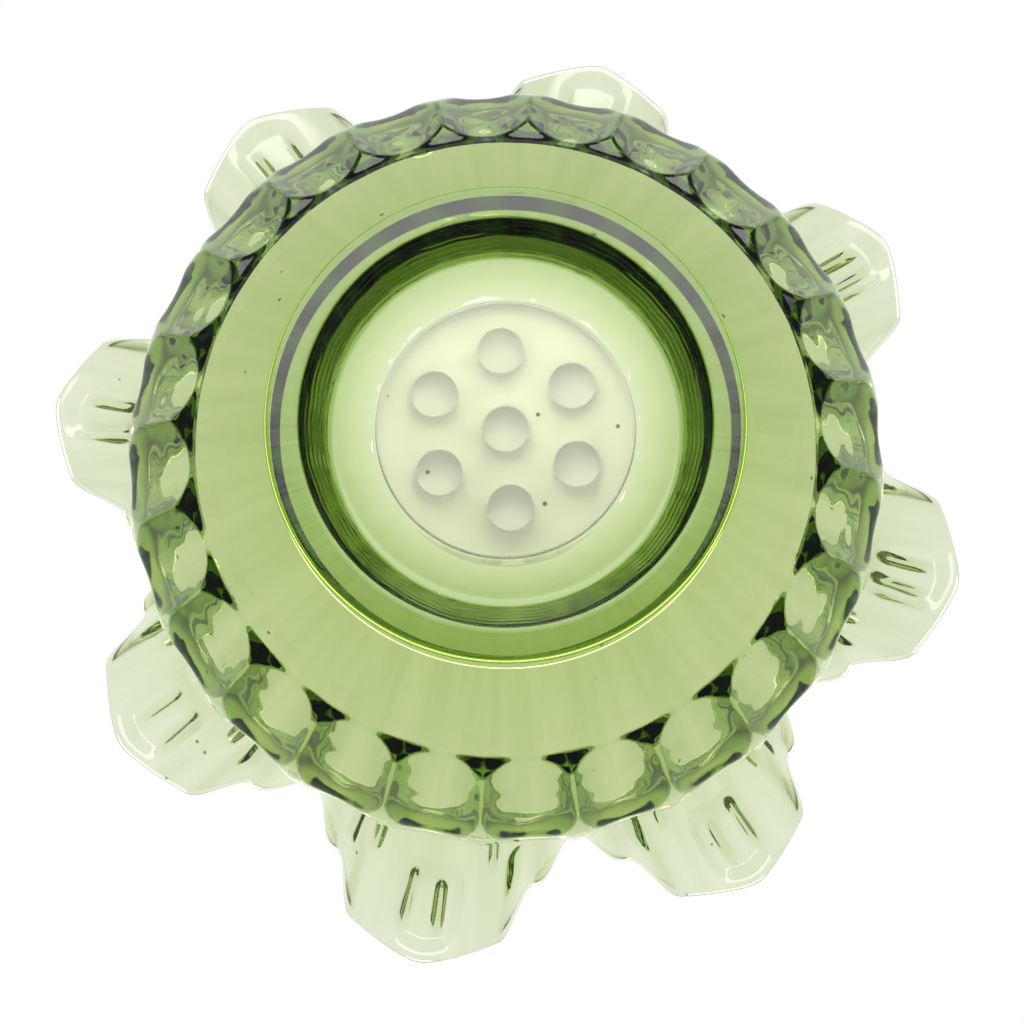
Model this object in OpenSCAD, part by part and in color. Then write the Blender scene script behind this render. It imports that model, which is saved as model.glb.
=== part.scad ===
// Footed flower bowl of pressed glass with a ruffled rim, and the glass flower frog that stands in it.
// Origin: centre of the foot ring's resting face. +Z is up, through the open mouth, and +X runs out
// through the middle of one ruffle.

/* [Foot] */
// Outer radius of the foot ring
foot_r = 46.3; // [45:0.1:47]
// Inner radius of the foot ring, where the recess starts
recess_r = 39.6; // [38:0.1:41]
// Depth of the recess under the bowl
recess_depth = 7.5; // [6:0.1:7.8]
// Slope of the recess's side
recess_slope = 57; // [50:1:75]
// Height at which the foot's wall meets the plain underside
foot_h = 7; // [6:0.5:8]

/* [Body] */
// Radius of the border between the plain underside and the thumbprints
border_r = 63.4; // [63:0.1:64]
// Height of that border
border_z = 25; // [24.5:0.1:25.5]
// Width of the narrow ledge outside the border
ledge = 6.2; // [5.8:0.1:6.4]
// Rise of that ledge across its width
ledge_rise = 1.6; // [1.2:0.1:2]
// Radius of the body at its widest
body_r = 81.4; // [81:0.1:83]
// Height of the widest point
body_z = 60; // [59:0.5:61]
// Thickness of the side wall at the widest point
wall = 5.5; // [5:0.1:6]
// Height of the floor inside, around the frog's seat
floor_z = 11; // [11:0.1:11.5]
// Radius at which the floor starts to rise
floor_r = 27; // [26.5:0.5:29]
// Gentle slope of the floor outside that
floor_slope = 13; // [11:0.5:14]
// Radius at which the floor turns up into the side
turn_r = 44; // [43:0.5:44.5]
// Slope of the inner face behind the plain underside
low_slope = 44; // [43:0.5:45]
// Slope of the inner face behind the lower thumbprints
inner_slope = 54; // [53:0.5:55]
// Radius at which the one slope turns into the other
fold_r = 60.5; // [60:0.5:61]

/* [Thumbprints] */
// Thumbprints in each row around the body
print_count = 24; // [22:1:26]
// Turn of the thumbprints against the ruffles
print_phase = 0; // [-7:0.5:7]
// Angle of the lower row below the widest point
lower_row = 35.1; // [34.8:0.1:35.4]
// Depth of the lower row's hollows at their middle
lower_depth = 4.3; // [4:0.1:4.5]
// Radius of the roller that forms the lower row
lower_roller = 17; // [16:1:20]
// Angle of the upper row below the widest point
upper_row = 2; // [1:0.5:3]
// Depth of the upper row's hollows at their middle
upper_depth = 1.8; // [1.2:0.1:2]
// Radius of the roller that forms the upper row
upper_roller = 70; // [60:5:80]

/* [Ruffled rim] */
// Number of ruffles
lobe_count = 8; // [7:1:9]
// Radius of the rim at a ruffle's tip
tip_r = 107.5; // [106:0.5:109]
// Radius of the rim at a ruffle's two side corners
corner_r = 99.5; // [98:0.5:101]
// Radius of the rim at the small shoulders beside a ruffle
shoulder_r = 89; // [87:0.5:91]
// Radius of the rim midway between two ruffles
valley_r = 80; // [78:0.5:82]
// Height of the rim at a ruffle's tip
tip_z = 99; // [97:0.5:101]
// Height of the rim midway between two ruffles
valley_z = 105; // [103:0.5:107]
// Thickness of the glass at the rim
rim_wall = 2; // [1.8:0.1:2.6]
// Height of the raised fold in the middle of each ruffle
tongue_h = 3.2; // [2:0.1:3.6]
// How far the hand-crimped ruffles stray outward and upward
crimp = 1; // [0.5:0.1:1.2]

/* [Flower frog] */
// Radius of the frog
frog_r = 25; // [24:0.1:25]
// Height of the frog
frog_h = 20; // [16:1:30]
// Width of the bevel around its top and bottom edges
frog_bevel = 0.4; // [0.3:0.1:1]
// Radius of each stem hole
stem_r = 4.5; // [3.5:0.1:4.6]
// Stem holes in the ring around the middle one
stem_count = 6; // [5:1:6]
// Radius of that ring of holes
stem_ring_r = 15.5; // [14.5:0.5:17]

/* [Seat] */
// Radius of the seat pressed in the floor for the frog
seat_r = 25.4; // [25.4:0.1:26]
// Depth of the seat
seat_depth = 1.5; // [1:0.1:1.6]
// Air gap under the frog
seat_gap = 0.1; // [0.05:0.05:0.3]

/* [Hidden] */
$fn = 96;
// The side wall's outer face is an arc that starts at the ledge and is upright at the widest point.
ledge_r = border_r + ledge;
ledge_z = border_z + ledge_rise;
arc_r = (pow(body_r - ledge_r, 2) + pow(body_z - ledge_z, 2)) / (2 * (body_r - ledge_r));
arc_x = body_r - arc_r;
// The inner face is three cones from the floor, an arc that turns the third upright, and an arc that
// follows the outer face.
inner_r = body_r - wall;
upper_arc_r = arc_r - wall;
turn_angle = 90 - inner_slope;
turn_z = floor_z + tan(floor_slope) * (turn_r - floor_r);
fold_z = turn_z + tan(low_slope) * (fold_r - turn_r);
lower_arc_r = (body_z - fold_z - tan(inner_slope) * (inner_r - fold_r))
    / (sin(turn_angle) - tan(inner_slope) * (1 - cos(turn_angle)));
lower_arc_x = inner_r - lower_arc_r;
cone_top_r = lower_arc_x + lower_arc_r * cos(turn_angle);
cone_top_z = body_z - lower_arc_r * sin(turn_angle);
// A step too small to feel, where the third cone meets its arc, keeps the two from only just touching.
arc_step = 0.03;
foot_chamfer = 0.8;
foot_waist = 1;
// Height and width of the bevel between the recess's side and its ceiling
bevel_h = 1.14;
bevel_w = 2.1;
side_top_r = recess_r - (recess_depth - bevel_h) / tan(recess_slope);
print_length = 38;
cutter_h = 200;
frog_z = floor_z - seat_depth + seat_gap;

// Ruffle outline, in degrees either side of a ruffle's middle
lobe_half = 180 / lobe_count;
corner_edge = 0.53 * lobe_half;
corner_soft = 0.11 * lobe_half;
shoulder_edge = 0.81 * lobe_half;
shoulder_soft = 0.14 * lobe_half;
tongue_edge = 0.17 * lobe_half;
tongue_soft = 0.05 * lobe_half;
// The tip is a peak with a little roundness, in parts of half a ruffle.
tip_edge = 0.53;
tip_round = 0.004;
// Parts of the way up a ruffle over which the fold rises, and over which it dies out
tongue_start = 0.45;
tongue_full = 0.62;
tongue_fade = 0.84;
// The ruffles' middle surface leaves the wall at this angle above the widest point.
top_angle = 20;
mid_arc_r = arc_r - wall / 2;
root_r = arc_x + mid_arc_r * cos(top_angle);
root_z = body_z + mid_arc_r * sin(top_angle);
// Length of the curve's two handles, and its lean outward at a valley and at a tip
handle = 10;
valley_lean = 5;
tip_lean = 75;
thinning = 0.35;
// Degrees by which the ruffles stray round the rim
crimp_turn = 1;
// Places of the section rings across half a ruffle, and of the rows up it
half_stops = [0, 0.12, 0.22, 0.33, 0.43, 0.53, 0.62, 0.72, 0.83, 0.94] * lobe_half;
row_stops = [0, 0.2, tongue_start, tongue_full, tongue_fade, 1];
// The ruffles' root is buried in the body's top edge, a hair inside both of its faces.
ruffle_bury = 2.7;
ruffle_inset = 0.5;

function blend(low, high, x) = let (t = min(1, max(0, (x - low) / (high - low)))) t * t * (3 - 2 * t);

function bump(offset, edge, soft) = 1 - blend(edge - soft, edge + soft, offset);

// Angle from the middle of the nearest ruffle
function lobe_offset(angle) =
    let (turned = angle + crimp_turn * sin(3 * angle + 30))
    abs(turned - 2 * lobe_half * round(turned / (2 * lobe_half)));

function rim_r(angle) = let (offset = lobe_offset(angle))
    valley_r
    + (shoulder_r - valley_r) * bump(offset, shoulder_edge, shoulder_soft)
    + (corner_r - shoulder_r) * bump(offset, corner_edge, corner_soft)
    + (tip_r - corner_r) * max(0, 1 - sqrt(pow(offset / lobe_half, 2) + tip_round) / tip_edge)
    + crimp * sin(3 * angle + 45) + 0.7 * crimp * sin(5 * angle + 120);

// How near to a ruffle's middle: 1 at the middle, 0 at a valley
function lobe_wave(angle) = (1 + cos(lobe_offset(angle) * 180 / lobe_half)) / 2;

function rim_z(angle) = valley_z + (tip_z - valley_z) * lobe_wave(angle) + crimp * sin(2 * angle + 60);

function tongue(offset, t) = tongue_h * bump(offset, tongue_edge, tongue_soft)
    * blend(tongue_start, tongue_full, t) * (1 - blend(tongue_fade, 1, t));

// Radius and height on a cubic curve from the wall (t = 0) to the rim (t = 1)
function ruffle_curve(angle, t) =
    let (lean = valley_lean + (tip_lean - valley_lean) * lobe_wave(angle),
         start = [root_r, root_z],
         end = [rim_r(angle), rim_z(angle)],
         first = start + handle * [-sin(top_angle), cos(top_angle)],
         second = end - handle * [sin(lean), cos(lean)],
         s = 1 - t)
    s * s * s * start + 3 * t * s * s * first + 3 * t * t * s * second + t * t * t * end;

// A point of the ruffles' middle surface
function ruffle_mid(angle, t) =
    let (at = ruffle_curve(angle, t))
    [at[0] * cos(angle), at[0] * sin(angle), at[1] + tongue(lobe_offset(angle), t)];

// The direction from the inner face to the outer one
function ruffle_out(angle, t) =
    let (turn = 0.4, step = 0.01,
         across = ruffle_mid(angle + turn, t) - ruffle_mid(angle - turn, t),
         up = ruffle_mid(angle, min(1, t + step)) - ruffle_mid(angle, max(0, t - step)),
         square = cross(across, up))
    square / norm(square);

// The direction up the ruffle at the rim
function rim_up(angle) =
    let (step = ruffle_mid(angle, 1) - ruffle_mid(angle, 0.99))
    step / norm(step);

function ruffle_wall(t) = t == 0 ? wall - 2 * ruffle_inset : wall + (rim_wall - wall) * pow(t, thinning);

function ruffle_point(angle, t, side) =
    ruffle_mid(angle, t) + ruffle_out(angle, t) * side * ruffle_wall(t) / 2;

// The rim's edge is bevelled to half of its width.
function rim_point(angle, side) =
    ruffle_mid(angle, 1) + (rim_up(angle) + ruffle_out(angle, 1) * side / 2) * rim_wall / 2;

// A point buried in the body's top edge
function ruffle_foot(angle, side) =
    let (z = root_z - ruffle_bury,
         face = side > 0 ? arc_r : upper_arc_r,
         r = arc_x + sqrt(face * face - pow(z - body_z, 2)) - side * ruffle_inset)
    [r * cos(angle), r * sin(angle), z];

// A section ring runs up the outer face, over the rim and down the inner face.
function ruffle_ring(angle) = concat(
    [ruffle_foot(angle, 1)],
    [for (t = row_stops) ruffle_point(angle, t, 1)],
    [rim_point(angle, 1), rim_point(angle, -1)],
    [for (i = [len(row_stops) - 1 : -1 : 0]) ruffle_point(angle, row_stops[i], -1)],
    [ruffle_foot(angle, -1)]);

module ruffled_rim() {
    stops = concat([for (i = [len(half_stops) - 1 : -1 : 1]) -half_stops[i]], half_stops, [lobe_half]);
    rings = [for (lobe = [0 : lobe_count - 1], stop = stops) ruffle_ring(2 * lobe_half * lobe + stop)];
    turns = len(rings);
    n = len(rings[0]);
    faces = [for (k = [0 : turns - 1], i = [0 : n - 1])
        let (j = (i + 1) % n, here = k * n, there = ((k + 1) % turns) * n)
        each [[here + i, here + j, there + j], [here + i, there + j, there + i]]];
    polyhedron([for (ring = rings) each ring], faces, convexity = 10);
}

// Half-section below the bowl's outer face, with the foot
module outer_section() {
    intersection() {
        translate([arc_x, body_z]) circle(r = arc_r);
        translate([arc_x, ledge_z]) square([2 * arc_r, root_z - ledge_z]);
    }
    translate([0, ledge_z]) square([arc_x, root_z - ledge_z]);
    polygon([
        [0, 0], [foot_r - foot_chamfer, 0], [foot_r, foot_chamfer], [foot_r, 2 * foot_chamfer],
        [foot_r - foot_waist, foot_h - foot_waist], [foot_r, foot_h], [border_r, border_z],
        [ledge_r, ledge_z], [0, ledge_z]]);
}

// Half-section of the space inside the bowl, with the frog's seat
module inner_section() {
    intersection() {
        translate([arc_x, body_z]) circle(r = upper_arc_r);
        translate([arc_x, body_z]) square([2 * upper_arc_r, cutter_h]);
    }
    intersection() {
        translate([lower_arc_x, body_z]) circle(r = lower_arc_r);
        translate([lower_arc_x, cone_top_z]) square([2 * lower_arc_r, body_z - cone_top_z]);
    }
    translate([0, cone_top_z]) square([lower_arc_x, body_z - cone_top_z]);
    translate([0, body_z]) square([arc_x, cutter_h]);
    polygon([
        [0, floor_z - seat_depth], [seat_r, floor_z - seat_depth], [seat_r, floor_z], [floor_r, floor_z],
        [turn_r, turn_z], [fold_r, fold_z], [cone_top_r - arc_step, cone_top_z], [0, cone_top_z]]);
}

// Half-section of the recess under the foot: a steep side, a bevel and a flat ceiling
module recess_section() {
    polygon([
        [0, -1], [recess_r, -1], [recess_r, 0], [side_top_r, recess_depth - bevel_h],
        [side_top_r - bevel_w, recess_depth], [0, recess_depth]]);
}

// One roller, laid along the side wall so that it presses a long hollow of the given depth
module print_roller(row_angle, depth, roller) {
    reach = arc_r + roller - depth;
    translate([arc_x + reach * cos(row_angle), 0, body_z - reach * sin(row_angle)])
        rotate([0, row_angle, 0])
            cylinder(r = roller, h = print_length, center = true);
}

module glass_bowl() {
    color("darkseagreen", 0.6) {
        difference() {
            rotate_extrude() outer_section();
            rotate_extrude() inner_section();
            rotate_extrude() recess_section();
            for (k = [0 : print_count - 1])
                rotate([0, 0, print_phase + 360 * k / print_count]) {
                    print_roller(lower_row, lower_depth, lower_roller);
                    print_roller(upper_row, upper_depth, upper_roller);
                }
        }
        ruffled_rim();
    }
}

module glass_frog() {
    color("honeydew", 0.5)
        translate([0, 0, frog_z])
            difference() {
                rotate_extrude()
                    polygon([
                        [0, 0], [frog_r - frog_bevel, 0], [frog_r, frog_bevel],
                        [frog_r, frog_h - frog_bevel], [frog_r - frog_bevel, frog_h], [0, frog_h]]);
                translate([0, 0, -1]) cylinder(r = stem_r, h = frog_h + 2);
                for (k = [0 : stem_count - 1])
                    rotate([0, 0, 360 * k / stem_count])
                        translate([stem_ring_r, 0, -1]) cylinder(r = stem_r, h = frog_h + 2);
            }
}

glass_bowl();
glass_frog();
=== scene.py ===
"""A footed flower bowl of olive-green pressed glass with a ruffled rim, and its clear glass flower frog.

The bowl is one closed mesh, swept round the axis from a half-section: recess, foot ring, underside,
thumbprint wall, ruffles, rim, and back down the inside to the frog's seat. Lengths are in millimetres
until the meshes are made, and the origin is the centre of the foot ring's resting face.
"""

import math

import bmesh
import bpy
import numpy as np
from mathutils import Matrix, Vector


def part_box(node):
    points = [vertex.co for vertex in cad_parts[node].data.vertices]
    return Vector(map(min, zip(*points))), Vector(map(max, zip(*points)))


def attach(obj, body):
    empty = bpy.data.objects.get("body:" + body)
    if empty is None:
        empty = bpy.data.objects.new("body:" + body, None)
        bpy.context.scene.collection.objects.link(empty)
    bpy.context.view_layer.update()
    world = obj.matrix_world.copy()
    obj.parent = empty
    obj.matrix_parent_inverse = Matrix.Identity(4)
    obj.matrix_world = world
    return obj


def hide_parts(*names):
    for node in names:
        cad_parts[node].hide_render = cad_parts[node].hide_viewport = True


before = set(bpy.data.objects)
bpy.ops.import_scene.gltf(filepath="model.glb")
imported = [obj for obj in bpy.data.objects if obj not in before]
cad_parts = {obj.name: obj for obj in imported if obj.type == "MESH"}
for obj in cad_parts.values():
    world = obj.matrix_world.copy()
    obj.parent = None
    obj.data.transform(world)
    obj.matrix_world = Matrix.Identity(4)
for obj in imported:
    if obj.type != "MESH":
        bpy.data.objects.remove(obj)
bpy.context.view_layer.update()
MM = 0.001

# ---- Dimensions of the bowl. The CAD model has the same, but for the parts noted here ----
FOOT_R = 46.3
RECESS_R = 39.6
RECESS_DEPTH = 7.5
RECESS_SLOPE = 57.0
# Rounded corner, a bevel in the CAD model
RECESS_FILLET = 2.5
# Rings left on the side of the recess by turning the mould, and waves inside the wall: not in the CAD model.
# A ring's wander has a count round the axis, a phase and a size in radians. A wave inside the wall has
# a count, a slant in radians per millimetre of height, a phase, a share and a bend.
RING_PITCH, RING_HEIGHT = 1.1, 0.045
RING_WANDER = ((3, 1.0, 1.6), (11, 0.0, 0.9), (29, 0.0, 0.5))
CHILL_HEIGHT = 0.04
CHILL_WAVES = ((24, 0.5, 0.0, 1.0, 0.7), (37, -0.8, 2.0, 0.8, 0.0), (11, 1.1, 4.0, 0.7, 0.0))
FOOT_H = 7.0
FOOT_WAIST = 1.0
BORDER_R, BORDER_Z = 63.4, 25.0
LEDGE_R, LEDGE_Z = 69.6, 26.6
BODY_R, BODY_Z = 81.4, 60.0
WALL = 5.5
FLOOR_R, FLOOR_Z = 27.0, 11.0
BOWL_R = 44.0
FLOOR_SLOPE = math.radians(13.0)
LOW_SLOPE, INNER_SLOPE = math.radians(44.0), math.radians(54.0)
FOLD_R = 60.5
SEAT_R, SEAT_DEPTH = 25.4, 1.5
SEAT_Z = FLOOR_Z - SEAT_DEPTH
PRINT_COUNT = 24
PRINT_PHASE = 0.0
# Each row of thumbprints: its middle below the widest point, its depth, and the roller that pressed it
PRINT_ROWS = ((math.radians(35.1), 4.3, 17.0), (math.radians(2.0), 1.8, 70.0))
# Softness of the ridges between the thumbprints, which are sharp in the CAD model
RIDGE_SOFT = 0.2
LOBE_COUNT = 8
# The tips reach 0.1 mm less far than the CAD model's, so that their round edges stay inside its box
TIP_R, CORNER_R, SHOULDER_R, VALLEY_R = 107.4, 99.5, 89.0, 80.0
# Where the steps of a ruffle's outline stand and how soft they are, in shares of half a ruffle
SHOULDER_AT, SHOULDER_SOFT = 0.81, 0.14
CORNER_AT, CORNER_SOFT = 0.53, 0.11
TIP_BLUNT = 0.004
TONGUE_AT, TONGUE_SOFT = 0.17, 0.05
# How far the ruffle leans out at a valley, and how much more at a tip; and the pull of its curve at both ends
VALLEY_LEAN, TIP_LEAN = math.radians(5), math.radians(70)
CURVE_PULL = 10
TIP_Z, VALLEY_Z = 99.0, 105.0
RIM_WALL = 2.0
TONGUE_H = 3.2
# Creases beside the middle of each ruffle and in its sides: degrees from the middle, half-width in degrees,
# where each starts and stops on the way up, and its height. They aren't in the CAD model.
CREASES = ((1.9, 0.5, 0.56, 0.84, 2.4), (9.2, 0.7, 0.2, 0.55, 2.6), (13.0, 0.8, 0.5, 0.8, 1.4))
# How far the hand-crimped ruffles stray: outward, upward, and round the rim in degrees
CRIMP_R, CRIMP_Z, CRIMP_TURN = 1.0, 1.0, 1.0
TOP_ANGLE = math.radians(20.0)

# The wall's outer face is an arc that starts at the ledge and is upright at the widest point.
ARC_R = ((BODY_R - LEDGE_R) ** 2 + (BODY_Z - LEDGE_Z) ** 2) / (2 * (BODY_R - LEDGE_R))
ARC_X = BODY_R - ARC_R
LEDGE_ANGLE = math.atan2(BODY_Z - LEDGE_Z, LEDGE_R - ARC_X)
BORDER_ANGLE = math.atan2(BODY_Z - BORDER_Z, BORDER_R - ARC_X)

# The inner face is a gently sloping floor, two cones, and an arc that is upright at the widest point.
INNER_R = BODY_R - WALL
BOWL_Z = FLOOR_Z + math.tan(FLOOR_SLOPE) * (BOWL_R - FLOOR_R)
FOLD_Z = BOWL_Z + math.tan(LOW_SLOPE) * (FOLD_R - BOWL_R)
TURN = math.pi / 2 - INNER_SLOPE
INNER_ARC = ((BODY_Z - FOLD_Z - math.tan(INNER_SLOPE) * (INNER_R - FOLD_R))
             / (math.sin(TURN) - math.tan(INNER_SLOPE) * (1 - math.cos(TURN))))

# ---- Fineness of the mesh ----
TURNS = 96 * LOBE_COUNT
STEP = 0.8


def blend(low, high, x):
    t = np.clip((x - low) / (high - low), 0, 1)
    return t * t * (3 - 2 * t)


def bump(offset, edge, soft):
    return 1 - blend(edge - soft, edge + soft, offset)


def straight(a, b, step=STEP):
    """Points from a to b, without b."""
    n = max(1, round(math.dist(a, b) / step))
    return [(a[0] + (b[0] - a[0]) * i / n, a[1] + (b[1] - a[1]) * i / n) for i in range(n)]


def arc(centre, radius, start, stop, step=STEP):
    """Points along an arc, in degrees, with both ends."""
    n = max(3, round(abs(math.radians(stop - start)) * radius / step))
    turns = [math.radians(start + (stop - start) * i / n) for i in range(n + 1)]
    return [(centre[0] + radius * math.cos(a), centre[1] + radius * math.sin(a)) for a in turns]


def crease(before, corner, after):
    """A sharp corner: points close to it on both sides keep the smooth shading off the faces."""
    close, far = 0.05, 0.15

    def near(other, gap):
        return tuple(np.array(corner) + gap * (np.array(other) - corner) / math.dist(other, corner))
    return [near(before, far), near(before, close), near(after, close), near(after, far)]


def polyline(*runs):
    """Joins runs of points, adding a straight run wherever one ends away from the next."""
    out = list(runs[0])
    for run in runs[1:]:
        out += straight(out[-1], run[0])[1:]
        out += run[1:] if math.dist(out[-1], run[0]) < 1e-6 else run
    return np.array(out)


def underside():
    """Half-section from the recess's middle, over the foot ring, to the border."""
    edge, fine = 0.8, 0.2
    waist = (FOOT_R - FOOT_WAIST, FOOT_H - FOOT_WAIST)
    steep = math.radians(RECESS_SLOPE)
    # Middle of the fillet between the recess's side and its ceiling
    fillet_z = RECESS_DEPTH - RECESS_FILLET
    side_r = RECESS_R - fillet_z / math.tan(steep) - RECESS_FILLET / math.sin(steep)
    fillet = arc((side_r, fillet_z), RECESS_FILLET, 90, 90 - RECESS_SLOPE, fine)
    lip = arc((RECESS_R + edge * math.tan(steep / 2), edge), edge, 270 - RECESS_SLOPE, 270, fine)
    return polyline(
        [(0.0, RECESS_DEPTH)],
        fillet,
        straight(fillet[-1], lip[0], fine),
        lip,
        arc((FOOT_R - edge, edge), edge, 270, 370, 0.3),
        crease((FOOT_R, edge), waist, (FOOT_R, FOOT_H)),
        crease(waist, (FOOT_R, FOOT_H), (BORDER_R, BORDER_Z)),
        [(BORDER_R, BORDER_Z)])


def wall_angles(step=STEP):
    """Angles below the widest point, from the border up to the root of the ruffles."""
    ledge = round((BORDER_ANGLE - LEDGE_ANGLE) * ARC_R / step)
    arch = round((LEDGE_ANGLE + TOP_ANGLE) * ARC_R / step)
    return np.concatenate([
        np.linspace(BORDER_ANGLE, LEDGE_ANGLE, ledge, endpoint=False),
        np.linspace(LEDGE_ANGLE, -TOP_ANGLE, arch + 1)])


def wall_reach(angles, theta):
    """How far the wall's face is from the arc's centre: the ledge, then the arc, pressed in by rollers."""
    missed, steepest = 1000, 30
    low = np.array([BORDER_R - ARC_X, BODY_Z - BORDER_Z])
    along = np.array([LEDGE_R - ARC_X, BODY_Z - LEDGE_Z]) - low
    cross = low[0] * along[1] - low[1] * along[0]
    ledge = cross / (np.cos(angles) * along[1] - np.sin(angles) * along[0])
    reach = np.where(angles > LEDGE_ANGLE, ledge, ARC_R)[:, None] + 0 * theta[None, :]
    pitch = 2 * math.pi / PRINT_COUNT
    off = theta - PRINT_PHASE
    off = (off - pitch * np.round(off / pitch))[None, :]
    a = angles[:, None]
    start = np.stack([ARC_X * np.cos(off) + 0 * a, ARC_X * np.sin(off) + 0 * a, 0 * a + 0 * off], -1)
    ray = np.stack([np.cos(a) * np.cos(off), np.cos(a) * np.sin(off), -np.sin(a) + 0 * off], -1)
    for middle, depth, roller in PRINT_ROWS:
        for column in (-1, 0, 1):
            turn = column * pitch
            out = np.array([math.cos(middle) * math.cos(turn), math.cos(middle) * math.sin(turn),
                            -math.sin(middle)])
            side = np.array([-math.sin(turn), math.cos(turn), 0])
            base = ARC_X * np.array([math.cos(turn), math.sin(turn), 0]) + (ARC_R - depth + roller) * out
            v = start - base
            p, q = v @ out, v @ side
            u, w = ray @ out, ray @ side
            half_b, square = p * u + q * w, u * u + w * w
            inside = half_b ** 2 - square * (p * p + q * q - roller ** 2)
            near = (-half_b - np.sqrt(np.maximum(inside, 0))) / square
            cut = np.where(inside > 0, near, missed)
            gap = np.clip((cut - reach) / RIDGE_SOFT, -steepest, steepest)
            reach = reach - RIDGE_SOFT * np.log1p(np.exp(-gap))
    return reach


def revolve(section, theta):
    r, z = section[:, 0][:, None], section[:, 1][:, None]
    return np.stack([r * np.cos(theta), r * np.sin(theta), z + 0 * theta], -1)


def lobe_offset(theta):
    """Degrees from the middle of the nearest ruffle."""
    pitch = 360 / LOBE_COUNT
    d = np.degrees(theta)
    return np.abs(d - pitch * np.round(d / pitch))


def ruffle_mid(theta, t):
    """The ruffles' middle surface: t runs from the top of the wall (0) to the rim (1)."""
    half = 180 / LOBE_COUNT
    off = lobe_offset(theta + math.radians(CRIMP_TURN) * np.sin(3 * theta + math.radians(30)))[None, :]
    t = t[:, None]
    crimp = (CRIMP_R * np.sin(3 * theta + math.radians(45))
             + 0.7 * CRIMP_R * np.sin(5 * theta + math.radians(120)))
    rim_r = (VALLEY_R + (SHOULDER_R - VALLEY_R) * bump(off, SHOULDER_AT * half, SHOULDER_SOFT * half)
             + (CORNER_R - SHOULDER_R) * bump(off, CORNER_AT * half, CORNER_SOFT * half)
             + (TIP_R - CORNER_R) * (1 - np.sqrt((off / half) ** 2 + TIP_BLUNT) / CORNER_AT).clip(0)
             + crimp)
    wave = (1 + np.cos(np.radians(off * 180 / half))) / 2
    rim_z = VALLEY_Z + (TIP_Z - VALLEY_Z) * wave + CRIMP_Z * np.sin(2 * theta + math.radians(60))
    mid_r = ARC_R - WALL / 2
    root = np.array([ARC_X + mid_r * math.cos(TOP_ANGLE), BODY_Z + mid_r * math.sin(TOP_ANGLE)])
    lean = VALLEY_LEAN + TIP_LEAN * wave
    p1 = root + CURVE_PULL * np.array([-math.sin(TOP_ANGLE), math.cos(TOP_ANGLE)])
    p2_r, p2_z = rim_r - CURVE_PULL * np.sin(lean), rim_z - CURVE_PULL * np.cos(lean)
    b0, b1, b2, b3 = (1 - t) ** 3, 3 * t * (1 - t) ** 2, 3 * t ** 2 * (1 - t), t ** 3
    r = b0 * root[0] + b1 * p1[0] + b2 * p2_r + b3 * rim_r
    z = b0 * root[1] + b1 * p1[1] + b2 * p2_z + b3 * rim_z
    pinch = blend(0.45, 0.62, t) * (1 - blend(0.84, 1.0, t))
    z = z + TONGUE_H * bump(off, TONGUE_AT * half, TONGUE_SOFT * half) * pinch
    return np.stack([r * np.cos(theta), r * np.sin(theta), z], -1)


def unit(v):
    return v / np.linalg.norm(v, axis=-1, keepdims=True)


def smoothed_round(v, passes):
    for _ in range(passes):
        v = (np.roll(v, 1, 1) + 2 * v + np.roll(v, -1, 1)) / 4
    return v


def folds(theta, t):
    """How much thicker the inner side is along the creases that the crimping iron left in each ruffle."""
    rng = np.random.default_rng(7)
    pitch = 360 / LOBE_COUNT
    d = np.degrees(theta)
    lobe = np.round(d / pitch).astype(int) % LOBE_COUNT
    off = (d - pitch * np.round(d / pitch))[None, :]
    t = t[:, None]
    out = np.zeros((len(t), len(theta)))
    for place, width, start, stop, height in CREASES:
        for side in (-1, 1):
            shift = rng.uniform(-0.4, 0.4, LOBE_COUNT)[lobe]
            slant = rng.uniform(-1.5, 1.5, LOBE_COUNT)[lobe]
            strength = rng.uniform(0.45, 1.15, LOBE_COUNT)[lobe]
            begin = start + rng.uniform(-0.04, 0.04, LOBE_COUNT)[lobe]
            line = side * place + shift + slant * (t - 0.6)
            across = np.exp(-((off - line) / width) ** 2)
            along = blend(begin - 0.05, begin + 0.05, t) * (1 - blend(stop - 0.08, stop + 0.06, t))
            out = out + height * strength * across * along
    return out


def ruffle_faces(theta):
    """Outer face, rounded rim and inner face of the ruffles, each as rows of points."""
    rows = 50
    t = np.linspace(0, 1, rows + 1)
    mid = ruffle_mid(theta, t)
    soft = smoothed_round(mid, 6)
    across = np.roll(soft, -1, 1) - np.roll(soft, 1, 1)
    up = np.gradient(mid, axis=0)
    out = unit(np.cross(across, up))
    out = unit(smoothed_round(out, 4))
    thick = (WALL + (RIM_WALL - WALL) * t ** 0.35)[:, None, None]
    outer, inner = mid + out * thick / 2, mid - out * (thick / 2 + folds(theta, t)[..., None])
    tip = unit(up[-1])
    turns = np.radians([30, 60, 90, 120, 150])
    rim = np.stack([mid[-1] + RIM_WALL / 2 * (out[-1] * math.cos(a) + tip * math.sin(a)) for a in turns])
    return outer, rim, inner[::-1]


def chill_waves(grid, theta):
    """Uneven inner face of the side, where the plunger chilled the glass."""
    r, z = np.hypot(grid[..., 0], grid[..., 1]), grid[..., 2]
    waves = sum(share * np.sin(count * theta + slant * z + phase + bend * np.sin(5 * theta))
                for count, slant, phase, share, bend in CHILL_WAVES)
    on_wall = blend(FOLD_R - 4, FOLD_R + 2, r) * (1 - blend(BODY_Z + 2, BODY_Z + 12, z))
    scale = 1 + CHILL_HEIGHT * on_wall * waves / np.maximum(r, 1)
    return grid * np.stack([scale, scale, np.ones_like(scale)], -1)


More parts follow.
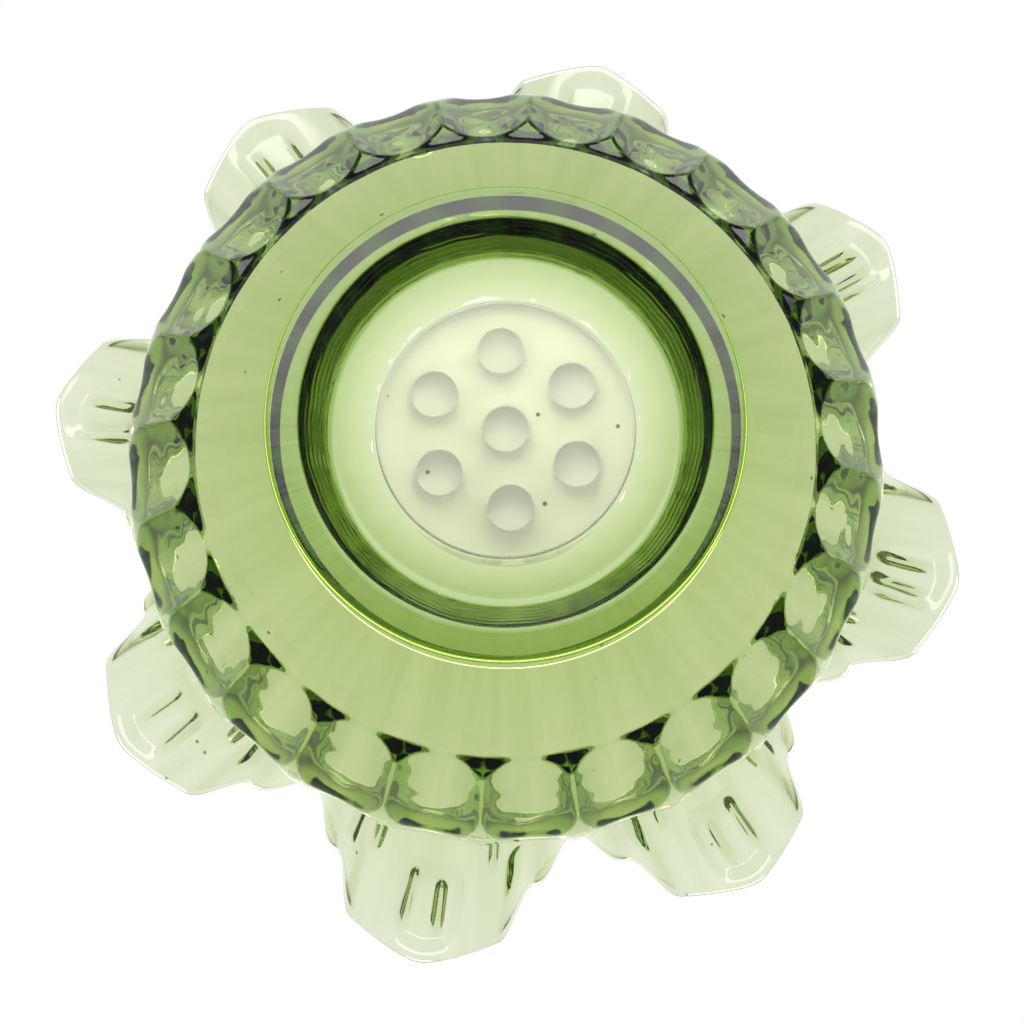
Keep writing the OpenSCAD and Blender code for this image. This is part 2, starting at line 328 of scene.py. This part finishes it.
def inside(theta):
    """Inner face of the wall, floor and seat, from the ruffles' root to the middle."""
    coarse, fine, edge = 1.2, 0.08, 0.15
    upper = arc((ARC_X, BODY_Z), ARC_R - WALL, math.degrees(TOP_ANGLE), 0, coarse)
    lower = arc((INNER_R - INNER_ARC, BODY_Z), INNER_ARC, 0, math.degrees(INNER_SLOPE) - 90, coarse)
    return chill_waves(revolve(polyline(
        upper[1:],
        lower,
        crease(lower[-1], (FOLD_R, FOLD_Z), (BOWL_R, BOWL_Z)),
        crease((FOLD_R, FOLD_Z), (BOWL_R, BOWL_Z), (FLOOR_R, FLOOR_Z)),
        crease((BOWL_R, BOWL_Z), (FLOOR_R, FLOOR_Z), (SEAT_R, FLOOR_Z)),
        arc((SEAT_R + edge, FLOOR_Z - edge), edge, 90, 180, fine),
        arc((SEAT_R - edge, SEAT_Z + edge), edge, 0, -90, fine),
        [(0.0, SEAT_Z)]), theta), theta)


def turned_rings(section, theta):
    """How far the side of the recess strays in wavy rings, left by turning the mould."""
    r, z = section[:, 0][:, None], section[:, 1][:, None]
    side = (r < RECESS_R) * blend(0.4, 1.2, z) * (1 - blend(0.8, 0.98, z / RECESS_DEPTH))
    wander = sum(share * np.sin(count * theta + phase) for count, phase, share in RING_WANDER)
    phase = 2 * math.pi * z / RING_PITCH + wander
    strength = 0.6 + 0.4 * np.sin(5 * theta + 2)
    return RING_HEIGHT * side * strength * np.sin(phase)


def bowl_grid():
    theta = np.arange(TURNS) * 2 * math.pi / TURNS + PRINT_PHASE
    section = underside()[:-1]
    under = revolve(section, theta)
    stray = turned_rings(section, theta)
    steep = math.radians(RECESS_SLOPE)
    under += np.stack([stray * math.sin(steep) * np.cos(theta), stray * math.sin(steep) * np.sin(theta),
                       stray * math.cos(steep)], -1)
    angles = wall_angles()
    reach = wall_reach(angles, theta)
    r = ARC_X + reach * np.cos(angles)[:, None]
    wall = np.stack([r * np.cos(theta), r * np.sin(theta), BODY_Z - reach * np.sin(angles)[:, None]], -1)
    outer, rim, inner = ruffle_faces(theta)
    return np.concatenate([under, wall, outer[1:], rim, inner, inside(theta)])


def grid_mesh(name, grid):
    """A closed mesh of a grid of rings whose first and last rings have shrunk to a point."""
    rows, turns = grid.shape[:2]
    rings = grid[1:-1].reshape(-1, 3) * MM
    points = np.concatenate([rings, grid[0, :1] * MM, grid[-1, :1] * MM])
    first, last = len(rings), len(rings) + 1
    a = np.arange(turns)
    b = (a + 1) % turns
    faces = []
    for row in range(rows - 3):
        base = row * turns
        faces.append(np.stack([base + a, base + turns + a, base + turns + b, base + b], -1))
    quads = np.concatenate(faces).tolist()
    top = (rows - 3) * turns
    caps = [[first, i, j] for i, j in zip(a.tolist(), b.tolist())]
    caps += [[last, top + j, top + i] for i, j in zip(a.tolist(), b.tolist())]
    mesh = bpy.data.meshes.new(name)
    mesh.from_pydata(points.tolist(), [], quads + caps)
    mesh.polygons.foreach_set("use_smooth", [True] * len(mesh.polygons))
    mesh.update()
    bm = bmesh.new()
    bm.from_mesh(mesh)
    if bm.calc_volume(signed=True) < 0:
        bmesh.ops.reverse_faces(bm, faces=bm.faces)
    bm.to_mesh(mesh)
    bm.free()
    obj = bpy.data.objects.new(name, mesh)
    bpy.context.collection.objects.link(obj)
    return obj


# ---- The frog ----
STEM_R = 4.5
STEM_RING_R = 15.5
STEM_COUNT = 6
FROG_EDGE = 0.4


def cylinder(name, radius, low, high, sides, x=0.0, y=0.0):
    mesh = bpy.data.meshes.new(name)
    bm = bmesh.new()
    place = Matrix.Translation(Vector((x, y, (low + high) / 2)) * MM)
    bmesh.ops.create_cone(
        bm, cap_ends=True, segments=sides, radius1=radius * MM, radius2=radius * MM,
        depth=(high - low) * MM, matrix=place)
    bm.to_mesh(mesh)
    bm.free()
    obj = bpy.data.objects.new(name, mesh)
    bpy.context.collection.objects.link(obj)
    return obj


def apply_modifiers(obj):
    depsgraph = bpy.context.evaluated_depsgraph_get()
    baked = bpy.data.meshes.new_from_object(obj.evaluated_get(depsgraph))
    obj.modifiers.clear()
    obj.data = baked


def make_frog():
    low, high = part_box("glass_frog")
    frog = cylinder("frog_glass", high.x / MM, low.z / MM, high.z / MM, 160)
    ring = [(STEM_RING_R * math.cos(a), STEM_RING_R * math.sin(a))
            for a in (2 * math.pi * k / STEM_COUNT for k in range(STEM_COUNT))]
    cutters = []
    for x, y in [(0.0, 0.0)] + ring:
        cutters.append(cylinder("stem_cutter", STEM_R, low.z / MM - 2, high.z / MM + 2, 64, x, y))
    for cutter in cutters:
        cut = frog.modifiers.new("stem_hole", "BOOLEAN")
        cut.operation, cut.solver, cut.object = "DIFFERENCE", "EXACT", cutter
    round_edge = frog.modifiers.new("edges", "BEVEL")
    round_edge.width, round_edge.segments, round_edge.limit_method = FROG_EDGE * MM, 5, "ANGLE"
    round_edge.angle_limit = math.radians(60)
    apply_modifiers(frog)
    for cutter in cutters:
        bpy.data.objects.remove(cutter)
    frog.data.polygons.foreach_set("use_smooth", [True] * len(frog.data.polygons))
    frog.data.set_sharp_from_angle(angle=math.radians(40))
    return frog


# ---- Materials ----
GROUND_ROUGHNESS = 1.0
# Painted shade: the glass is tinted darker green round the seat and over the foot's recess, where its light
# paths darken it: millimetres from the axis, and tint
RECESS_PAINTED_SHADE = ((25.3, (1, 1, 1)), (25.8, (0.86, 0.92, 0.74)), (30.0, (0.76, 0.85, 0.58)),
          (35.0, (0.58, 0.70, 0.38)), (38.0, (0.66, 0.76, 0.44)), (41.0, (1, 1, 1)))


def new_material(name):
    mat = bpy.data.materials.new(name)
    mat.use_nodes = True
    nodes = mat.node_tree.nodes
    nodes.clear()
    return mat, nodes, mat.node_tree.links


def noise(nodes, links, coords, scale, detail=3.0):
    tex = nodes.new("ShaderNodeTexNoise")
    tex.inputs["Scale"].default_value = scale
    tex.inputs["Detail"].default_value = detail
    links.new(coords, tex.inputs["Vector"])
    return tex.outputs["Fac"]


def around_axis(nodes, links, coords):
    """Coordinates that change quickly round the bowl's axis and slowly along it."""
    flat = nodes.new("ShaderNodeVectorMath")
    flat.operation = "MULTIPLY"
    flat.inputs[1].default_value = (1, 1, 0)
    links.new(coords, flat.inputs[0])
    ring = nodes.new("ShaderNodeVectorMath")
    ring.operation = "NORMALIZE"
    links.new(flat.outputs["Vector"], ring.inputs[0])
    wide = nodes.new("ShaderNodeVectorMath")
    wide.operation = "SCALE"
    wide.inputs["Scale"].default_value = 14
    links.new(ring.outputs["Vector"], wide.inputs[0])
    slow = nodes.new("ShaderNodeVectorMath")
    slow.operation = "MULTIPLY_ADD"
    slow.inputs[1].default_value = (12, 12, 25)
    links.new(coords, slow.inputs[0])
    links.new(wide.outputs["Vector"], slow.inputs[2])
    return slow.outputs["Vector"]


def from_axis(nodes, links, coords):
    """Distance from the bowl's axis, in metres."""
    flat = nodes.new("ShaderNodeVectorMath")
    flat.operation = "MULTIPLY"
    flat.inputs[1].default_value = (1, 1, 0)
    links.new(coords, flat.inputs[0])
    radius = nodes.new("ShaderNodeVectorMath")
    radius.operation = "LENGTH"
    links.new(flat.outputs["Vector"], radius.inputs[0])
    return radius.outputs["Value"]


def tint_by_radius(nodes, links, coords, stops):
    """A tint that changes with the distance from the axis: stops are millimetres and colours."""
    reach = 60.0
    scaled = nodes.new("ShaderNodeMapRange")
    scaled.inputs["From Max"].default_value = reach * MM
    links.new(from_axis(nodes, links, coords), scaled.inputs["Value"])
    node = nodes.new("ShaderNodeValToRGB")
    elements = node.color_ramp.elements
    first, last = stops[0], stops[-1]
    elements[0].position, elements[0].color = first[0] / reach, (*first[1], 1)
    elements[1].position, elements[1].color = last[0] / reach, (*last[1], 1)
    for place, colour in stops[1:-1]:
        stop = elements.new(place / reach)
        stop.color = (*colour, 1)
    links.new(scaled.outputs["Result"], node.inputs["Fac"])
    return node.outputs["Color"]


def multiplied(nodes, links, a, b):
    mix = nodes.new("ShaderNodeMix")
    mix.data_type, mix.blend_type = "RGBA", "MULTIPLY"
    mix.inputs["Factor"].default_value = 1.0
    links.new(a, mix.inputs["A"])
    links.new(b, mix.inputs["B"])
    return mix.outputs["Result"]


def faded_inward(nodes, links, coords, value):
    """The value outside the foot ring, dying out to a plain tone over the floor."""
    share = nodes.new("ShaderNodeMapRange")
    share.interpolation_type = "SMOOTHSTEP"
    share.inputs["From Min"].default_value = SEAT_R * MM
    share.inputs["From Max"].default_value = FOOT_R * MM
    links.new(from_axis(nodes, links, coords), share.inputs["Value"])
    mix = nodes.new("ShaderNodeMix")
    mix.inputs["A"].default_value = 0.6
    links.new(share.outputs["Result"], mix.inputs["Factor"])
    links.new(value, mix.inputs["B"])
    return mix.outputs["Result"]


def ramp(nodes, links, value, low, high, colour_low, colour_high):
    node = nodes.new("ShaderNodeValToRGB")
    ends = node.color_ramp.elements
    ends[0].position, ends[1].position = low, high
    ends[0].color, ends[1].color = (*colour_low, 1), (*colour_high, 1)
    links.new(value, node.inputs["Fac"])
    return node.outputs["Color"]


def ground_face(nodes, links, coords, height, reach):
    """1 on a flat face ground matte at this height and within this distance of the axis, 0 elsewhere."""
    split = nodes.new("ShaderNodeSeparateXYZ")
    links.new(coords, split.inputs["Vector"])
    level = nodes.new("ShaderNodeMath")
    level.operation = "COMPARE"
    level.inputs[1].default_value = height
    level.inputs[2].default_value = 0.04 * MM
    links.new(split.outputs["Z"], level.inputs[0])
    within = nodes.new("ShaderNodeMath")
    within.operation = "LESS_THAN"
    within.inputs[1].default_value = reach
    links.new(from_axis(nodes, links, coords), within.inputs[0])
    both = nodes.new("ShaderNodeMath")
    both.operation = "MULTIPLY"
    links.new(level.outputs["Value"], both.inputs[0])
    links.new(within.outputs["Value"], both.inputs[1])
    return both.outputs["Value"]


def glass(name, ior, absorbs, ripple, tint_low, tint_high, seed_tint, painted_shade=None, ground=None):
    """Pressed glass: absorbs is how much red, green and blue it takes off per metre.

    A flat face at the height ground[0], out to ground[1] from the axis, is ground matte.
    """
    mat, nodes, links = new_material(name)
    out = nodes.new("ShaderNodeOutputMaterial")
    body = nodes.new("ShaderNodeBsdfPrincipled")
    body.inputs["Transmission Weight"].default_value = 1.0
    body.inputs["IOR"].default_value = ior
    links.new(body.outputs["BSDF"], out.inputs["Surface"])
    coords = nodes.new("ShaderNodeTexCoord").outputs["Object"]
    # Faint radial streaks of tint, and rare dark seeds caught in the skin of the glass
    streaks = noise(nodes, links, around_axis(nodes, links, coords), 1.0, 4.0)
    streaks = faded_inward(nodes, links, coords, streaks)
    clouds = ramp(nodes, links, streaks, 0.35, 0.65, tint_low, tint_high)
    cells = nodes.new("ShaderNodeTexVoronoi")
    cells.inputs["Scale"].default_value = 90
    links.new(coords, cells.inputs["Vector"])
    seeds = ramp(nodes, links, cells.outputs["Distance"], 0.03, 0.05, seed_tint, (1, 1, 1))
    colour = multiplied(nodes, links, clouds, seeds)
    # Painted shade: a darker green tint by distance from the axis, round the seat and over the foot's recess
    if painted_shade:
        colour = multiplied(nodes, links, colour, tint_by_radius(nodes, links, coords, painted_shade))
    links.new(colour, body.inputs["Base Color"])
    # Fire polish: mirror smooth, with a haze in patches
    haze = nodes.new("ShaderNodeMapRange")
    haze.inputs["From Min"].default_value = 0.45
    haze.inputs["From Max"].default_value = 0.75
    haze.inputs["To Min"].default_value = 0.0
    haze.inputs["To Max"].default_value = 0.03
    links.new(noise(nodes, links, coords, 120), haze.inputs["Value"])
    rough = haze.outputs["Result"]
    if ground:
        matte = nodes.new("ShaderNodeMath")
        matte.operation = "MULTIPLY_ADD"
        matte.inputs[1].default_value = GROUND_ROUGHNESS
        links.new(ground_face(nodes, links, coords, *ground), matte.inputs[0])
        links.new(rough, matte.inputs[2])
        rough = matte.outputs["Value"]
    links.new(rough, body.inputs["Roughness"])
    # Chill marks: the long, shallow ripple that the cold mould leaves, drawn out along the streaks
    mixed = nodes.new("ShaderNodeMath")
    mixed.operation = "ADD"
    links.new(noise(nodes, links, coords, 130, 2.0), mixed.inputs[0])
    links.new(streaks, mixed.inputs[1])
    bumps = nodes.new("ShaderNodeBump")
    bumps.inputs["Strength"].default_value = 1.0
    bumps.inputs["Distance"].default_value = ripple
    links.new(mixed.outputs["Value"], bumps.inputs["Height"])
    links.new(bumps.outputs["Normal"], body.inputs["Normal"])
    volume = nodes.new("ShaderNodeVolumeAbsorption")
    most = max(absorbs)
    volume.inputs["Color"].default_value = (*[1 - a / most for a in absorbs], 1)
    volume.inputs["Density"].default_value = most
    links.new(volume.outputs["Volume"], out.inputs["Volume"])
    return mat


def floor_material():
    """Pale board seen from above, and clear from below, so that a camera under the bowl sees it."""
    mat, nodes, links = new_material("pale_board")
    out = nodes.new("ShaderNodeOutputMaterial")
    board = nodes.new("ShaderNodeBsdfPrincipled")
    board.inputs["Roughness"].default_value = 0.6
    coords = nodes.new("ShaderNodeTexCoord").outputs["Object"]
    grain = noise(nodes, links, coords, 30)
    tone = ramp(nodes, links, grain, 0.3, 0.7, (0.78, 0.78, 0.77), (0.82, 0.82, 0.81))
    links.new(tone, board.inputs["Base Color"])
    clear = nodes.new("ShaderNodeBsdfTransparent")
    mix = nodes.new("ShaderNodeMixShader")
    links.new(nodes.new("ShaderNodeNewGeometry").outputs["Backfacing"], mix.inputs["Fac"])
    links.new(board.outputs["BSDF"], mix.inputs[1])
    links.new(clear.outputs["BSDF"], mix.inputs[2])
    links.new(mix.outputs["Shader"], out.inputs["Surface"])
    return mat


# ---- Stage, light and camera ----
SOFTBOX_LEVEL = 2.8
WINDOW_LEVEL = 4.5
WINDOW_COLOUR = (1.0, 1.0, 0.94)
WINDOW_SIDE = (0.355, -0.535, -0.766)
# How squarely a reflection has to look at the window to begin to see it, and to see it whole
WINDOW_EDGE = (0.80, 0.90)
# Brightness of the room, from straight down (0) to straight up (1), and its colours at both ends
ROOM_LEVELS = ((0.45, 0.16), (0.62, 0.30), (0.78, 0.85))
ROOM_WARMTH = 0.97
ROOM_LOW, ROOM_HIGH = (0.20, 0.21, 0.19), (1.0, 1.0, 1.0)
ROOM_WHITE_AT = 0.86


def make_floor():
    size, drop = 3.0, 0.0003
    mesh = bpy.data.meshes.new("floor")
    corners = [(-size, -size), (size, -size), (size, size), (-size, size)]
    mesh.from_pydata([(x, y, -drop) for x, y in corners], [], [(0, 1, 2, 3)])
    floor = bpy.data.objects.new("floor", mesh)
    bpy.context.collection.objects.link(floor)
    floor.data.materials.append(floor_material())
    floor.visible_glossy = False
    return floor


def make_world():
    """White overhead and dimmer all round, as under one large soft light; plain white to the camera."""
    world = bpy.data.worlds.new("studio")
    bpy.context.scene.world = world
    world.use_nodes = True
    nodes, links = world.node_tree.nodes, world.node_tree.links
    nodes.clear()
    coords = nodes.new("ShaderNodeTexCoord").outputs["Generated"]
    split = nodes.new("ShaderNodeSeparateXYZ")
    links.new(coords, split.inputs["Vector"])
    height = nodes.new("ShaderNodeMapRange")
    height.inputs["From Min"].default_value = -1.0
    height.inputs["From Max"].default_value = 1.0
    links.new(split.outputs["Z"], height.inputs["Value"])
    sky = nodes.new("ShaderNodeValToRGB")
    stops = sky.color_ramp.elements
    stops[0].position, stops[0].color = 0.0, (*ROOM_LOW, 1)
    stops[1].position, stops[1].color = ROOM_WHITE_AT, (*ROOM_HIGH, 1)
    for place, level in ROOM_LEVELS:
        stop = stops.new(place)
        stop.color = (level, level, level * ROOM_WARMTH, 1)
    links.new(height.outputs["Result"], sky.inputs["Fac"])
    # The window behind the camera. The floor is left out of mirror reflections, so these see it.
    toward = nodes.new("ShaderNodeVectorMath")
    toward.operation = "DOT_PRODUCT"
    toward.inputs[1].default_value = WINDOW_SIDE
    links.new(coords, toward.inputs[0])
    pane = nodes.new("ShaderNodeMapRange")
    pane.interpolation_type = "SMOOTHSTEP"
    pane.inputs["From Min"].default_value = WINDOW_EDGE[0]
    pane.inputs["From Max"].default_value = WINDOW_EDGE[1]
    links.new(toward.outputs["Value"], pane.inputs["Value"])
    room = nodes.new("ShaderNodeMix")
    room.data_type = "RGBA"
    room.clamp_result = False
    room.inputs["B"].default_value = (*[c * WINDOW_LEVEL for c in WINDOW_COLOUR], 1)
    links.new(pane.outputs["Result"], room.inputs["Factor"])
    links.new(sky.outputs["Color"], room.inputs["A"])
    lit, seen = nodes.new("ShaderNodeBackground"), nodes.new("ShaderNodeBackground")
    links.new(room.outputs["Result"], lit.inputs["Color"])
    seen.inputs["Color"].default_value = (1, 1, 1, 1)
    mix = nodes.new("ShaderNodeMixShader")
    links.new(nodes.new("ShaderNodeLightPath").outputs["Is Camera Ray"], mix.inputs["Fac"])
    links.new(lit.outputs["Background"], mix.inputs[1])
    links.new(seen.outputs["Background"], mix.inputs[2])
    out = nodes.new("ShaderNodeOutputWorld")
    links.new(mix.outputs["Shader"], out.inputs["Surface"])


def make_softbox():
    """A small round lamp straight behind the bowl's thin floor, as the camera sees it."""
    radius, height = 0.05, 0.42
    data = bpy.data.lights.new("softbox", "AREA")
    data.shape, data.size = "DISK", 2 * radius
    data.energy = SOFTBOX_LEVEL * math.pi * math.pi * radius * radius
    data.color = (1.0, 0.97, 0.8)
    light = bpy.data.objects.new("softbox", data)
    bpy.context.collection.objects.link(light)
    light.visible_camera = False
    camera = bpy.context.scene.camera.location
    seat = Vector((0, 0, SEAT_Z * MM))
    light.location = seat + (seat - camera) * ((height - seat.z) / (seat.z - camera.z))
    return light


def make_camera():
    """Under the bowl, a little off its axis, with a ruffle's middle turned round from the picture's right."""
    tilt, roll, distance = math.radians(10.0), math.radians(33.6), 440 * MM
    right = Vector((math.cos(roll), math.sin(roll), 0))
    flat_up = Vector((math.sin(roll), -math.cos(roll), 0))
    axis = Vector((0, 0, 1))
    sight = axis * math.cos(tilt) + flat_up * math.sin(tilt)
    up = flat_up * math.cos(tilt) - axis * math.sin(tilt)
    # The foot stands above and left of the picture's middle.
    aim = right * 1.2 * MM - up * 17.4 * MM
    data = bpy.data.cameras.new("camera")
    data.lens, data.sensor_width = 81.0, 36.0
    data.clip_start, data.clip_end = 0.01, 20
    camera = bpy.data.objects.new("camera", data)
    bpy.context.collection.objects.link(camera)
    place = -sight * distance
    back = (place - aim).normalized()
    side = up.cross(back).normalized()
    true_up = back.cross(side)
    camera.matrix_world = Matrix.Translation(place) @ Matrix((side, true_up, back)).transposed().to_4x4()
    bpy.context.scene.camera = camera
    return camera


make_camera()
bowl = grid_mesh("bowl_glass", bowl_grid())
# The bowl's glass carries painted shade, a darker green tint round the seat and over the foot's recess
bowl.data.materials.append(glass(
    "green_glass", 1.52, (84, 57, 168), 0.00004, (0.9, 0.93, 0.86), (1, 1, 0.98), (0.1, 0.14, 0.05),
    painted_shade=RECESS_PAINTED_SHADE, ground=(SEAT_Z * MM, SEAT_R * MM)))
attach(bowl, "bowl")
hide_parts("glass_bowl")

frog = make_frog()
frog.data.materials.append(glass(
    "clear_glass", 1.5, (3, 2, 4), 0.00001, (0.98, 0.99, 0.88), (1, 1, 0.92), (0.8, 0.8, 0.75)))
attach(frog, "frog")
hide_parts("glass_frog")

make_floor()
make_world()
make_softbox()
bpy.context.scene.view_settings.view_transform = "Standard"

scene = bpy.context.scene
scene.cycles.max_bounces = 32
scene.cycles.transmission_bounces = 32
scene.cycles.glossy_bounces = 16
scene.cycles.transparent_max_bounces = 32
